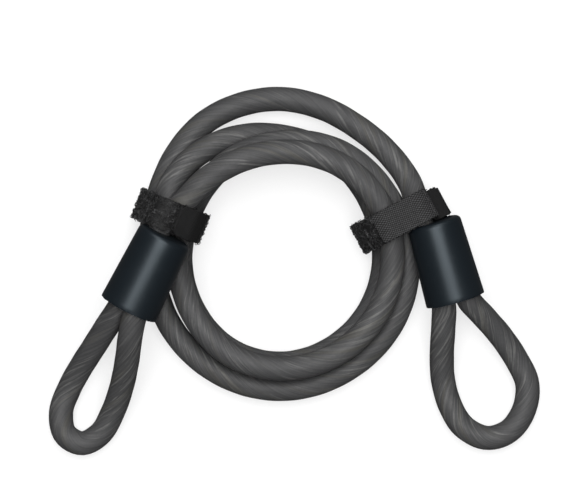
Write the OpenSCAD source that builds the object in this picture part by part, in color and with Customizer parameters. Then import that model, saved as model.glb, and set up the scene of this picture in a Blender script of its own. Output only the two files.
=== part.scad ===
// Double-loop security cable, coiled flat and tied with two hook-and-loop straps.
// Millimetres, +Z up. The coil lies on the XY plane, origin under the middle of the whole object.

/* [Cable] */
// Outer diameter of the jacketed cable
cable_d = 10; // [9.6:0.1:10]
// Diameter of the steel wire rope inside the jacket
rope_d = 7; // [6:0.1:7.2]
// Diameter of the centre strand of the rope
core_d = 2.4; // [2:0.1:2.6]

/* [Crimps] */
// Length of a ferrule cover
cover_len = 33; // [31:0.5:34]
// Outer diameter of a ferrule cover at its open mouth
cover_d = 24.2; // [23.8:0.1:24.4]
// Outer diameter of a ferrule cover at its closed shoulder
cover_top_d = 22; // [21.8:0.1:22.4]
// Thickness of the cover's closed shoulder
shoulder_t = 2.5; // [2:0.1:3]
// Length of the crimped aluminium ferrule
ferrule_len = 25; // [22:0.5:26]

/* [Straps] */
// Width of the hook-and-loop tape
tape_w = 12.5; // [11:0.1:12.5]
// Thickness of the tape
tape_t = 1; // [0.8:0.1:1]
// Thickness of the fuzzy loop facing
pile_t = 0.7; // [0.5:0.1:0.7]
// Thickness of the hook facing under the tail
hook_t = 0.5; // [0.4:0.1:0.5]

/* [Hidden] */
$fn = 48;

cable_r = cable_d / 2;
gap = 0.1;                     // clearance between sleeved pieces of one body
snug = 0.3;                    // clearance between cable and tape, and between hooks and pile
rope_gap = 0.05;               // clearance round the rope inside its jacket
leg = 5.1;                     // the two legs of an eye lie this far from the ferrule's axis
cavity_d = 20.8;               // inside diameter of a ferrule cover near its mouth
cavity_top_d = 19.4;           // and at its shoulder
edge_r = 2;                    // rounding of the cover's shoulder
rope_end = 4;                  // the cut end of the rope lies this far from the cover's face
tube_sides = 8;
ring_step = 24;                // degrees of coil between two rings of a plain tube
tape_in = cable_r + snug;      // the bundle's outline, offset by these, gives each layer
tape_out = tape_in + tape_t;
pile_out = tape_out + pile_t;
hook_in = pile_out + snug;
tail_in = hook_in + hook_t;
tail_out = tail_in + tape_t;
lowest = pile_out;             // height of the lowest pass, which the straps lift off the floor
middle = [5, -6.1];           // middle of the whole object, measured from the coil's centre

// The coil starts at start_angle and runs clockwise. Each station is [radius, height above the
// lowest pass], and there is one every station_step degrees, twelve to a turn.
start_angle = 150;
station_step = 30;
turn_1 = [[45.1, 20.8], [42.8, 22.7], [42.7, 20.1], [44.1, 19], [45, 17], [44.8, 13.2],
          [44.7, 10.4], [44.7, 10.4], [44.7, 10.4], [44.2, 10.4], [42.4, 10.4], [43, 11]];
turn_2 = [[53.4, 10.4], [53.6, 5.8], [49.7, 0], [46.2, 0], [42.9, 0], [41.8, 0],
          [41.7, 0], [42.2, 0], [43.2, 0], [43.2, 0], [42, 0], [41.6, 0]];
turn_3 = [[42, 3.8], [44.4, 12], [46.9, 10], [49.1, 10], [49.6, 7.8], [51.3, 4.9],
          [52.4, 0.6], [52.8, 0], [53.6, 0], [53.6, 0], [53.4, 0], [53.4, 0]];
turn_4 = [[57.2, 0], [63.8, 0], [65.1, 0], [61.8, 1.5], [60.2, 8.2]];
stations = concat(turn_1, turn_2, turn_3, turn_4);

// A crimp: where the middle of the cover's coil face is, how it is turned (roll, pitch, yaw), which
// side the running leg is on, and the points round the eye from one leg to the other.
left_place = [-46.1, 9.3, 36.5];
left_turn = [45, 6, -117];
left_side = -1;
left_down = [[-60.4, -31, 33], [-62.2, -41, 25.2], [-65, -52, 15.8]];
left_eye = [[-69.2, -63, 8], [-74.5, -72, 5.2], [-82, -76, 5], [-89, -72.2, 5], [-90.6, -63, 5]];
left_up = [[-87.3, -53.7, 5.8], [-82.2, -44.8, 10.4], [-76.1, -35.8, 17], [-70.2, -27.1, 24]];
right_place = [61, 14.8, 23.8];
right_turn = [0, 5, -74];
right_side = -1;
right_eye = [[69, -60.5, 5], [74.5, -69.2, 5], [84, -73.8, 5], [93.2, -70.9, 5], [99.3, -62.2, 5], [100.6, -51.5, 5]];
right_down = [[65.4, -28.5, 17.2], [65.2, -39, 11], [66, -50, 6.2]];
right_up = [[95.9, -41.2, 6], [89, -31.4, 10.2], [82.2, -23.9, 15.2]];

// A strap: its middle, the direction it lies across the bundle, and the cable sections it holds,
// as [distance outward from the middle, height].
left_strap = [-44.45, 16.6];
left_across = 158;
left_bundle = [[2.4, 33.4], [-2.5, 28.2], [-6.8, 8.2], [9.2, 7]];
left_tail_from = [-30, 21];    // low corner of the window that the tail fills
left_tail_to = [-3.9, 60];
left_root_from = [-30, 16.5];
left_root_to = [-9, 20.7];
right_strap = [51.2, 18.1];
right_across = 28;
right_bundle = [[8.2, 16.8], [2.9, 23.8], [-9.9, 23.8], [-12.8, 21.6], [-15.9, 7], [-11, 7]];
right_tail_from = [-15, 20];
right_tail_to = [4.6, 60];
right_root_from = [4.9, 25];
right_root_to = [9, 60];

stitch = [0.5, 1.8, 0.3];
stitch_count = 4;
stitch_pitch = 2.8;

function unit(v) = v / norm(v);
function turned(v, a) =
    let (x1 = v.x, y1 = v.y * cos(a.x) - v.z * sin(a.x), z1 = v.y * sin(a.x) + v.z * cos(a.x),
         x2 = x1 * cos(a.y) + z1 * sin(a.y), z2 = -x1 * sin(a.y) + z1 * cos(a.y))
    [x2 * cos(a.z) - y1 * sin(a.z), x2 * sin(a.z) + y1 * cos(a.z), z2];
function in_left(v) = left_place + turned(v, left_turn);
function in_right(v) = right_place + turned(v, right_turn);

// Smooth curve through four neighbours, at fraction f between b and c
function smooth(a, b, c, d, f) =
    (2 * b + (c - a) * f + (2 * a - 5 * b + 4 * c - d) * f * f + (3 * b - 3 * c + d - a) * f * f * f) / 2;
last = len(stations) - 1;
function station(i) = i < 0 ? 2 * stations[0] - stations[1]
    : i > last ? 2 * stations[last] - stations[last - 1] : stations[i];
function coil_at(turned_by) =
    let (s = turned_by / station_step, i = min(floor(s), last - 1),
         v = smooth(station(i - 1), station(i), station(i + 1), station(i + 2), s - i),
         a = start_angle - turned_by)
    [v.x * cos(a), v.x * sin(a), lowest + v.y];

face = shoulder_t;                       // where the ferrule starts, from the cover's coil face
foot = shoulder_t + ferrule_len;         // where it ends
clear = 2;                               // the cable is straight this far outside the coil face
mouth = cover_len + 1;                   // and this far outside the eye end
coil_rings = [for (t = [0:ring_step:last * station_step]) coil_at(t)];
left_loop = concat([in_left([foot, -leg * left_side, 0]), in_left([mouth, -leg * left_side, 0])],
    left_down, left_eye, left_up,
    [in_left([mouth, leg * left_side, 0]), in_left([foot, leg * left_side, 0])]);
right_loop = concat([in_right([foot, leg * right_side, 0]), in_right([mouth, leg * right_side, 0])],
    right_down, right_eye, right_up,
    [in_right([mouth, -leg * right_side, 0]), in_right([foot, -leg * right_side, 0])]);
coil_line = concat([in_left([face, leg * left_side, 0]), in_left([-clear, leg * left_side, 0])],
    coil_rings,
    [in_right([-clear, leg * right_side, 0]), in_right([face, leg * right_side, 0])]);
rope_line = concat([in_left([rope_end, -leg * left_side, 0])], left_loop, coil_line, right_loop,
    [in_right([rope_end, -leg * right_side, 0])]);

// Rings of a tube along a line of points, each square to the line
function ring(p, i, r) =
    let (t = unit(p[min(i + 1, len(p) - 1)] - p[max(i - 1, 0)]), s = unit(cross([0, 0, 1], t)),
         u = cross(t, s))
    [for (k = [0:tube_sides - 1]) p[i] + r * (cos(k * 360 / tube_sides) * s + sin(k * 360 / tube_sides) * u)];
function rings(p, r) = [for (i = [0:len(p) - 1]) each ring(p, i, r)];
function quad(a, b, c, d) = [[a, b, c], [a, c, d]];

module solid_tube(p, r) {
    m = tube_sides;
    n = len(p);
    walls = [for (i = [0:n - 2], k = [0:m - 1])
        each quad(i * m + k, (i + 1) * m + k, (i + 1) * m + (k + 1) % m, i * m + (k + 1) % m)];
    start = [for (k = [0:m - 1]) k];
    stop = [for (k = [m - 1:-1:0]) (n - 1) * m + k];
    polyhedron(points = rings(p, r), faces = concat(walls, [start, stop]));
}

module hollow_tube(p, r_out, r_in) {
    m = tube_sides;
    n = len(p);
    q = n * m;
    e = (n - 1) * m;
    outer = [for (i = [0:n - 2], k = [0:m - 1])
        each quad(i * m + k, (i + 1) * m + k, (i + 1) * m + (k + 1) % m, i * m + (k + 1) % m)];
    inner = [for (f = outer) [q + f[2], q + f[1], q + f[0]]];
    start = [for (k = [0:m - 1]) each quad(k, (k + 1) % m, q + (k + 1) % m, q + k)];
    stop = [for (k = [0:m - 1]) each quad(e + (k + 1) % m, e + k, q + e + k, q + e + (k + 1) % m)];
    polyhedron(points = concat(rings(p, r_out), rings(p, r_in)), faces = concat(outer, inner, start, stop));
}

module from_coil() translate([-middle.x, -middle.y, 0]) children();
module at_left() from_coil() translate(left_place) rotate(left_turn) rotate([0, 90, 0]) children();
module at_right() from_coil() translate(right_place) rotate(right_turn) rotate([0, 90, 0]) children();

// In a crimp's own frame Z runs from the coil face to the eye, and the legs lie along Y
module crimp_ferrule() {
    chamfer = 0.5;
    r = cavity_top_d / 2 - gap / 2;
    color("silver")
    difference() {
        translate([0, 0, face])
        rotate_extrude()
        polygon([[0, 0], [r, 0], [r, ferrule_len - chamfer], [r - chamfer, ferrule_len], [0, ferrule_len]]);
        for (s = [-1, 1]) translate([0, s * leg, face - 1]) cylinder(d = rope_d + gap, h = ferrule_len + 2);
    }
}

module crimp_cover(side) {
    r = cover_d / 2;
    top = cover_top_d / 2;
    color("#12171c")
    difference() {
        rotate_extrude() {
            polygon([[0, edge_r], [top, edge_r], [r, cover_len], [0, cover_len]]);
            square([top - edge_r, edge_r]);
            translate([top - edge_r, edge_r]) intersection() {
                circle(r = edge_r);
                translate([0, -edge_r]) square(edge_r);
            }
        }
        translate([0, 0, face]) cylinder(d1 = cavity_top_d, d2 = cavity_d, h = cover_len);
        translate([0, side * leg, -1]) cylinder(d = cable_d + gap, h = face + 2);
    }
}

module bundle_outline(sections, r) hull() for (c = sections) translate(c) circle(r = r, $fn = 24);
module layer(sections, r_in, r_out) difference() {
    bundle_outline(sections, r_out);
    bundle_outline(sections, r_in);
}
module window(low, high) translate(low) square(high - low);
module at_strap(middle_at, across)
    from_coil() translate(middle_at) rotate([90, 0, across]) linear_extrude(tape_w, center = true) children();

module strap_band(middle_at, across, sections, root_from, root_to) {
    color("#1b1b1c") at_strap(middle_at, across) {
        layer(sections, tape_in, tape_out);
        intersection() {
            layer(sections, tape_in, tail_out);
            window(root_from, root_to);
        }
    }
}

module loop_pile(middle_at, across, sections, root_from, root_to) {
    color("#242425") at_strap(middle_at, across) difference() {
        layer(sections, tape_out, pile_out);
        window(root_from, root_to);
    }
}

module strap_tail(middle_at, across, sections, low, high) {
    color("#202021") at_strap(middle_at, across) intersection() {
        layer(sections, tail_in, tail_out);
        window(low, high);
    }
}

module hook_patch(middle_at, across, sections, low, high) {
    color("#161617") at_strap(middle_at, across) intersection() {
        layer(sections, hook_in, tail_in);
        window(low, high);
    }
}

// Stitches lie on the root of the tail, in a row across the tape
module stitch_row(middle_at, across, place, normal) {
    color("#303032") from_coil() translate(middle_at) rotate([0, 0, across])
    for (i = [0:stitch_count - 1])
        translate([place.x, (i - (stitch_count - 1) / 2) * stitch_pitch, place.y])
        rotate([0, atan2(normal.x, normal.y), 0]) translate([-stitch.x / 2, -stitch.y / 2, 0]) cube(stitch);
}

// The left root stands on the straight run between the second and third sections of its bundle
left_run = left_bundle[2] - left_bundle[1];
left_normal = unit([left_run.y, -left_run.x]);
left_seam = left_bundle[1] + 0.57 * left_run + tail_out * left_normal;
// The right root stands on the arc round the second section of its bundle
right_normal = [cos(62), sin(62)];
right_seam = right_bundle[1] + tail_out * right_normal;

module rope_core() color("#8f9194") from_coil() solid_tube(rope_line, core_d / 2 - rope_gap);
module rope_strands() color("#9a9c9f") from_coil() hollow_tube(rope_line, rope_d / 2, core_d / 2);
module jacket_coil() color("#3a3a3a") from_coil() hollow_tube(coil_line, cable_r, rope_d / 2 + rope_gap);
module jacket_left_eye() color("#3a3a3a") from_coil() hollow_tube(left_loop, cable_r, rope_d / 2 + rope_gap);
module jacket_right_eye() color("#3a3a3a") from_coil() hollow_tube(right_loop, cable_r, rope_d / 2 + rope_gap);
module left_ferrule() at_left() crimp_ferrule();
module right_ferrule() at_right() crimp_ferrule();
module left_ferrule_cover() at_left() crimp_cover(left_side);
module right_ferrule_cover() at_right() crimp_cover(right_side);
module left_strap_band() strap_band(left_strap, left_across, left_bundle, left_root_from, left_root_to);
module left_loop_pile() loop_pile(left_strap, left_across, left_bundle, left_root_from, left_root_to);
module left_strap_stitching() stitch_row(left_strap, left_across, left_seam, left_normal);
module left_strap_tail() strap_tail(left_strap, left_across, left_bundle, left_tail_from, left_tail_to);
module left_hook_patch() hook_patch(left_strap, left_across, left_bundle, left_tail_from, left_tail_to);
module right_strap_band() strap_band(right_strap, right_across, right_bundle, right_root_from, right_root_to);
module right_loop_pile() loop_pile(right_strap, right_across, right_bundle, right_root_from, right_root_to);
module right_strap_stitching() stitch_row(right_strap, right_across, right_seam, right_normal);
module right_strap_tail() strap_tail(right_strap, right_across, right_bundle, right_tail_from, right_tail_to);
module right_hook_patch() hook_patch(right_strap, right_across, right_bundle, right_tail_from, right_tail_to);

rope_core();
rope_strands();
jacket_coil();
jacket_left_eye();
jacket_right_eye();
left_ferrule();
right_ferrule();
left_ferrule_cover();
right_ferrule_cover();
left_strap_band();
left_loop_pile();
left_strap_stitching();
left_strap_tail();
left_hook_patch();
right_strap_band();
right_loop_pile();
right_strap_stitching();
right_strap_tail();
right_hook_patch();
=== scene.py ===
"""Double-loop security cable, coiled flat and tied with two hook-and-loop straps."""

import logging
import math
import random
from dataclasses import dataclass
from enum import Enum
from typing import Callable, Mapping, Sequence

import bpy
import numpy as np
from mathutils import Euler, Matrix, Vector, noise

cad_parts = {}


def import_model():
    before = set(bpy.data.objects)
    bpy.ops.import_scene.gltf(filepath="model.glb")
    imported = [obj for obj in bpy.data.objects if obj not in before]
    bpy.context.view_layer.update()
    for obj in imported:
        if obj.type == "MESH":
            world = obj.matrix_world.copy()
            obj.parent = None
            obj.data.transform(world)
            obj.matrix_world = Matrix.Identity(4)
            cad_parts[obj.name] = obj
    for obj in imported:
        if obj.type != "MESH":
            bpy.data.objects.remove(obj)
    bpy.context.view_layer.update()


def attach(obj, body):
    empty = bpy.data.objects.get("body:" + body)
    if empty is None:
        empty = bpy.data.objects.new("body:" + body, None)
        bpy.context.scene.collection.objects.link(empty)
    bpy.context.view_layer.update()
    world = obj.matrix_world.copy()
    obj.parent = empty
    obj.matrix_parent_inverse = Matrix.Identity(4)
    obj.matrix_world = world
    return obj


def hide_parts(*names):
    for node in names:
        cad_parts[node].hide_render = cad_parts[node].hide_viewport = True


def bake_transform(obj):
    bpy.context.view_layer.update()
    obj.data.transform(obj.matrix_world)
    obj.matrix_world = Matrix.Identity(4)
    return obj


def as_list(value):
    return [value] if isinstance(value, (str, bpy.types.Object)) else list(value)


log = logging.getLogger("cable")

MM = 0.001
TURN = 2 * math.pi
MIDDLE = Vector((5.0, -6.1, 0.0))  # middle of the whole object, from the coil's centre, in mm
Colour = tuple[float, float, float]
MeshData = tuple[np.ndarray, list[tuple[int, ...]]]


class Body(Enum):
    """The moving bodies of the object."""

    CABLE = "cable"
    LEFT_TAIL = "left_tail"
    RIGHT_TAIL = "right_tail"


class Slot(Enum):
    """The record's material slots."""

    ROPE = "rope_steel"
    JACKET = "jacket_pvc"
    FERRULE = "ferrule_aluminium"
    COVER = "cover_plastic"
    TAPE = "tape_nylon"
    PILE = "loop_pile"
    HOOKS = "hook_facing"
    THREAD = "thread"


# ---- Shader maths ----


class Signal:
    """An output socket that takes part in Python arithmetic."""

    def __init__(self, graph: "Graph", socket: bpy.types.NodeSocket) -> None:
        """Keeps the socket.

        Args:
            graph: the material's graph, where Math nodes are added.
            socket: the output socket.
        """
        self.graph = graph
        self.socket = socket

    def _math(self, operation: str, *values: object) -> "Signal":
        """Adds one Math node for the operation and returns its output."""
        made = self.graph.node("ShaderNodeMath", {"operation": operation}, dict(enumerate(values)))
        return Signal(self.graph, made.outputs[0])

    def __add__(self, other: object) -> "Signal":
        """Sum."""
        return self._math("ADD", self, other)

    __radd__ = __add__

    def __mul__(self, other: object) -> "Signal":
        """Product."""
        return self._math("MULTIPLY", self, other)

    __rmul__ = __mul__

    def __sub__(self, other: object) -> "Signal":
        """Difference."""
        return self._math("SUBTRACT", self, other)

    def wave(self) -> "Signal":
        """Sine."""
        return self._math("SINE", self)

    def between(self, low: float, high: float) -> "Signal":
        """Smooth step from 0 at low to 1 at high.

        Args:
            low: value that gives 0.
            high: value that gives 1.

        Returns:
            The stepped signal.
        """
        sockets = {"Value": self, "From Min": low, "From Max": high}
        made = self.graph.node("ShaderNodeMapRange", {"interpolation_type": "SMOOTHSTEP"}, sockets)
        return Signal(self.graph, made.outputs[0])


class Graph:
    """The node tree of one material."""

    def __init__(self, name: str) -> None:
        """Makes the material.

        Args:
            name: the material's name.
        """
        self.material = bpy.data.materials.new(name)
        self.material.use_nodes = True
        self.tree = self.material.node_tree
        self.shader = next(n for n in self.tree.nodes if n.type == "BSDF_PRINCIPLED")

    def put(self, socket: bpy.types.NodeSocket, value: object) -> None:
        """Links a signal to a socket, or sets the socket's own value."""
        if isinstance(value, Signal):
            self.tree.links.new(value.socket, socket)
        elif isinstance(value, tuple) and len(value) == 3 and socket.type == "RGBA":
            socket.default_value = (*value, 1.0)
        else:
            socket.default_value = value

    def node(
        self, kind: str, settings: Mapping[str, object], sockets: Mapping[str | int, object]
    ) -> bpy.types.Node:
        """Adds a node.

        Args:
            kind: the node's type.
            settings: properties that are set first.
            sockets: values or signals by input name or number.

        Returns:
            The node.
        """
        made = self.tree.nodes.new(kind)
        for key, value in settings.items():
            setattr(made, key, value)
        for key, value in sockets.items():
            self.put(made.inputs[key], value)
        return made

    def attribute(self, name: str) -> Signal:
        """Vector attribute of the mesh."""
        made = self.node("ShaderNodeAttribute", {"attribute_name": name}, {})
        return Signal(self, made.outputs["Vector"])

    def place(self) -> Signal:
        """Object coordinates, in metres."""
        return Signal(self, self.node("ShaderNodeTexCoord", {}, {}).outputs["Object"])

    def scaled(self, vector: Signal, scale: Colour) -> Signal:
        """The vector with each axis scaled."""
        made = self.node("ShaderNodeVectorMath", {"operation": "MULTIPLY"}, {0: vector, 1: scale})
        return Signal(self, made.outputs[0])

    def parts(self, vector: Signal) -> tuple[Signal, Signal, Signal]:
        """The three parts of a vector."""
        made = self.node("ShaderNodeSeparateXYZ", {}, {0: vector})
        return tuple(Signal(self, out) for out in made.outputs)

    def noise(
        self, vector: Signal, scale: float, detail: float = 3.0, rough: float = 0.55, warp: float = 0.0
    ) -> Signal:
        """Noise from 0 to 1.

        Args:
            vector: where the noise is read.
            scale: how fine it is.
            detail: octaves.
            rough: strength of the finer octaves.
            warp: distortion.

        Returns:
            The noise.
        """
        sockets = {
            "Vector": vector, "Scale": scale, "Detail": detail, "Roughness": rough, "Distortion": warp
        }  # fmt: skip
        return Signal(self, self.node("ShaderNodeTexNoise", {}, sockets).outputs[0])

    def mix(self, share: object, first: object, second: object) -> Signal:
        """Colour between first, at share 0, and second, at share 1."""
        made = self.node("ShaderNodeMix", {"data_type": "RGBA"}, {0: share, 6: first, 7: second})
        return Signal(self, made.outputs[2])

    def bump(self, height: Signal, depth: float, strength: float = 1.0) -> Signal:
        """Normal of a surface raised by height times depth.

        Args:
            height: from 0 to 1.
            depth: how far a height of 1 stands out, in metres.
            strength: how much of it shows.

        Returns:
            The normal.
        """
        sockets = {"Strength": strength, "Distance": depth, "Height": height}
        return Signal(self, self.node("ShaderNodeBump", {}, sockets).outputs[0])

    def finish(self, **sockets: object) -> bpy.types.Material:
        """Sets the shader's sockets, named with _ for a space, and returns the material."""
        for key, value in sockets.items():
            self.put(self.shader.inputs[key.replace("_", " ")], value)
        return self.material


# ---- Finishes ----


@dataclass(frozen=True)
class JacketPvc:
    """Charcoal PVC over wire rope: smooth and softly glossy. The strands beneath show through as streaks,
    painted lighter as their highlights, with painted shade in the hollows between them.
    """

    deep: Colour = (0.030, 0.030, 0.031)
    body: Colour = (0.060, 0.060, 0.061)
    strand_highlight: Colour = (0.128, 0.127, 0.124)
    olive: Colour = (0.080, 0.076, 0.062)

    def material(self) -> bpy.types.Material:
        """Builds the material, which reads the "lay" attribute that twists with the strands."""
        g = Graph("jacket_pvc")
        lay = g.attribute("lay")
        band = g.noise(g.scaled(lay, (1.6, 1.6, 1.3)), 2.6, 3.0, 0.6, 0.2)
        patch = g.noise(g.scaled(lay, (0.6, 0.6, 1.6)), 1.1, 2.0, 0.5)
        thread = g.noise(g.scaled(lay, (2.2, 2.2, 0.9)), 3.4, 2.0, 0.5)
        mottle = g.noise(g.place(), 900.0, 4.0, 0.65)
        highlight_streaks = band.between(0.50, 0.66) * patch.between(0.36, 0.58)
        # Painted shade: darker towards the deep colour where the bump is low, as shade in the hollows between
        # the strands.
        hollow = thread.between(0.62, 0.36) * 0.55
        tint = g.noise(g.scaled(lay, (0.9, 0.9, 0.7)), 1.7, 2.0, 0.5).between(0.56, 0.70)
        colour = g.mix(hollow, self.body, self.deep)
        # Painted highlight: the streaks, where the strands show through, are painted lighter as the strands'
        # highlights.
        colour = g.mix(highlight_streaks * 0.75, colour, self.strand_highlight)
        colour = g.mix(tint * 0.4, colour, self.olive)
        colour = g.mix(mottle.between(0.35, 0.7) * 0.18, colour, self.deep)
        roughness = 0.50 + mottle * 0.10 + thread * 0.08 - highlight_streaks * 0.08
        surface = mottle * 0.20 + thread * 0.45 + highlight_streaks * 0.35
        return g.finish(
            Base_Color=colour,
            Roughness=roughness,
            Normal=g.bump(surface, 0.00016, 0.6),
            Specular_IOR_Level=0.28,
            IOR=1.48,
        )


@dataclass(frozen=True)
class RopeSteel:
    """Zinc-dull steel wires with darker greasy patches. They are painted bright on the wires' crowns and dull
    in the grooves between them, as painted highlight and painted shade.
    """

    bright: Colour = (0.42, 0.42, 0.43)
    dull: Colour = (0.16, 0.16, 0.16)

    def material(self) -> bpy.types.Material:
        """Builds the material, with wires that wind round each strand."""
        g = Graph("rope_steel")
        around, along, _ = g.parts(g.attribute("wire"))
        wires = (around * 7.0 + along * 2.4).wave() * 0.5 + 0.5
        grease = g.noise(g.place(), 260.0, 4.0, 0.6)
        # Painted highlight and shade: bright where the wires stand out in the bump, dull in the grooves
        # between them.
        colour = g.mix(wires.between(0.05, 0.6), self.dull, self.bright)
        colour = g.mix(grease.between(0.52, 0.75) * 0.6, colour, self.dull)
        return g.finish(
            Base_Color=colour,
            Metallic=1.0,
            Roughness=0.34 + grease * 0.25,
            Normal=g.bump(wires, 0.00025, 0.9),
        )


@dataclass(frozen=True)
class CrimpAluminium:
    """Pressed aluminium with drawn scratches and oxide in the die marks."""

    metal: Colour = (0.52, 0.53, 0.54)
    oxide: Colour = (0.20, 0.20, 0.21)

    def material(self) -> bpy.types.Material:
        """Builds the material."""
        g = Graph("ferrule_aluminium")
        cloud = g.noise(g.place(), 220.0, 5.0, 0.62)
        scratch = g.noise(g.scaled(g.place(), (1.0, 1.0, 0.12)), 2600.0, 3.0, 0.6)
        colour = g.mix(cloud.between(0.40, 0.72) * 0.8, self.metal, self.oxide)
        return g.finish(
            Base_Color=colour,
            Metallic=0.95,
            Roughness=0.30 + cloud * 0.30,
            Normal=g.bump(scratch, 0.00004, 0.6),
        )


@dataclass(frozen=True)
class CoverPlastic:
    """Moulded blue-black plastic: glossy, faintly rippled, a little scuffed."""

    shell: Colour = (0.0060, 0.0085, 0.0110)
    scuff: Colour = (0.016, 0.020, 0.024)

    def material(self) -> bpy.types.Material:
        """Builds the material."""
        g = Graph("cover_plastic")
        ripple = g.noise(g.place(), 95.0, 2.0, 0.5)
        grain = g.noise(g.place(), 1500.0, 4.0, 0.6)
        rub = g.noise(g.scaled(g.place(), (1.0, 1.0, 0.5)), 420.0, 5.0, 0.68, 0.4)
        colour = g.mix(rub.between(0.60, 0.80) * 0.5, self.shell, self.scuff)
        roughness = 0.31 + ripple * 0.10 + rub.between(0.55, 0.80) * 0.08 + grain * 0.03
        return g.finish(
            Base_Color=colour,
            Roughness=roughness,
            Normal=g.bump(ripple * 0.8 + grain * 0.2, 0.00012, 0.25),
            Specular_IOR_Level=0.34,
            Specular_Tint=(0.80, 0.92, 1.0, 1.0),
            IOR=1.50,
        )


@dataclass(frozen=True)
class TapeNylon:
    """Black nylon tape, either a close plain weave or a coarser one. It is painted lighter on the weave's
    raised dots and darker in its pits, as painted highlight and painted shade.
    """

    name: str = "tape_nylon"
    yarn: Colour = (0.0135, 0.0135, 0.0138)
    gap: Colour = (0.0050, 0.0050, 0.0050)
    light: Colour = (0.0170, 0.0170, 0.0175)
    pitch: float = 0.8
    depth: float = 0.00010

    def material(self) -> bpy.types.Material:
        """Builds the material, which reads the "cloth" attribute: along and across, in mm."""
        g = Graph(self.name)
        cloth = g.attribute("cloth")
        along, across, _ = g.parts(cloth)
        fibre = g.noise(g.scaled(cloth, (1.0, 3.0, 1.0)), 1.6, 4.0, 0.7)
        uneven = g.noise(g.scaled(cloth, (1.0, 1.0, 0.0)), 0.55, 3.0, 0.6)
        weft = (along * (TURN / self.pitch)).wave() * (across * (TURN / self.pitch)).wave()
        # Painted light: the weave's raised dots are painted lighter as highlights, and its pits darker as
        # shade.
        dot_highlight = weft.between(0.0, 0.75)
        pit_shade = weft.between(0.0, -0.7)
        colour = g.mix(pit_shade * 0.8, self.yarn, self.gap)
        colour = g.mix(dot_highlight * fibre.between(0.25, 0.55), colour, self.light)
        colour = g.mix(uneven.between(0.45, 0.75) * 0.4, colour, self.gap)
        return g.finish(
            Base_Color=colour,
            Roughness=0.62 + fibre * 0.22,
            Normal=g.bump(weft * 0.45 + fibre * 0.4 + 0.4, self.depth, 0.8),
            Specular_IOR_Level=0.20,
        )


@dataclass(frozen=True)
class LoopPile:
    """Curly nylon: a felt below, painted near-black as the shade under the loops, and loops above with
    painted shade between the curls and painted glints on their fibres.
    """

    # The defaults make the felt, painted near-black as the shade in the gaps under the loops.
    name: str = "pile_felt_shade"
    fibre: Colour = (0.0060, 0.0060, 0.0062)
    shade: Colour = (0.0020, 0.0020, 0.0020)
    glint: Colour = (0.0150, 0.0150, 0.0155)

    def material(self) -> bpy.types.Material:
        """Builds the material."""
        g = Graph(self.name)
        curl = g.noise(g.place(), 1300.0, 4.0, 0.7, 0.6)
        lump = g.noise(g.place(), 420.0, 3.0, 0.6)
        colour = g.mix(curl.between(0.52, 0.36), self.fibre, self.shade)
        colour = g.mix(lump.between(0.50, 0.70) * 0.8, colour, self.glint)
        return g.finish(
            Base_Color=colour,
            Roughness=0.50 + curl * 0.25,
            Normal=g.bump(curl, 0.0002, 0.7),
            Specular_IOR_Level=0.25,
        )


@dataclass(frozen=True)
class HookFacing:
    """Stiff monofilament hooks and the film they stand on."""

    film: Colour = (0.016, 0.016, 0.017)
    worn: Colour = (0.045, 0.045, 0.046)

    def material(self) -> bpy.types.Material:
        """Builds the material."""
        g = Graph("hook_facing")
        speck = g.noise(g.place(), 1800.0, 3.0, 0.6)
        colour = g.mix(speck.between(0.5, 0.75) * 0.6, self.film, self.worn)
        return g.finish(
            Base_Color=colour,
            Roughness=0.32 + speck * 0.2,
            Normal=g.bump(speck, 0.00006, 0.5),
        )


@dataclass(frozen=True)
class Thread:
    """Twisted polyester sewing thread."""
    # Twisted polyester sewing thread, painted lighter on its plies and darker in the grooves between them, as
    # painted highlight and painted shade.

    ply: Colour = (0.050, 0.050, 0.052)
    groove: Colour = (0.012, 0.012, 0.012)

    def material(self) -> bpy.types.Material:
        """Builds the material."""
        g = Graph("thread")
        x, y, z = g.parts(g.place())
        twist = ((x + y + z) * (TURN / 0.00035)).wave() * 0.5 + 0.5
        # Painted highlight on the plies and painted shade in the grooves, following the twist.
        colour = g.mix(twist, self.groove, self.ply)
        return g.finish(
            Base_Color=colour, Roughness=0.55 + twist * 0.1, Normal=g.bump(twist, 0.00005, 0.7)
        )


# ---- Mesh helpers ----


def deselect() -> None:
    """Leaves object mode with nothing selected."""
    if bpy.context.mode != "OBJECT":
        bpy.ops.object.mode_set(mode="OBJECT")
    bpy.ops.object.select_all(action="DESELECT")


def pick(obj: bpy.types.Object) -> None:
    """Makes obj the only selected object, and the active one."""
    deselect()
    obj.select_set(True)
    bpy.context.view_layer.objects.active = obj


def shade(obj: bpy.types.Object, angle: float) -> None:
    """Smooth shading, with edges sharper than angle degrees kept."""
    pick(obj)
    bpy.ops.object.shade_smooth_by_angle(angle=math.radians(angle))


def face_outward(obj: bpy.types.Object) -> None:
    """Turns every face of a closed mesh outward."""
    pick(obj)
    bpy.ops.object.mode_set(mode="EDIT")
    bpy.ops.mesh.select_all(action="SELECT")
    bpy.ops.mesh.normals_make_consistent(inside=False)
    bpy.ops.object.mode_set(mode="OBJECT")


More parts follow.
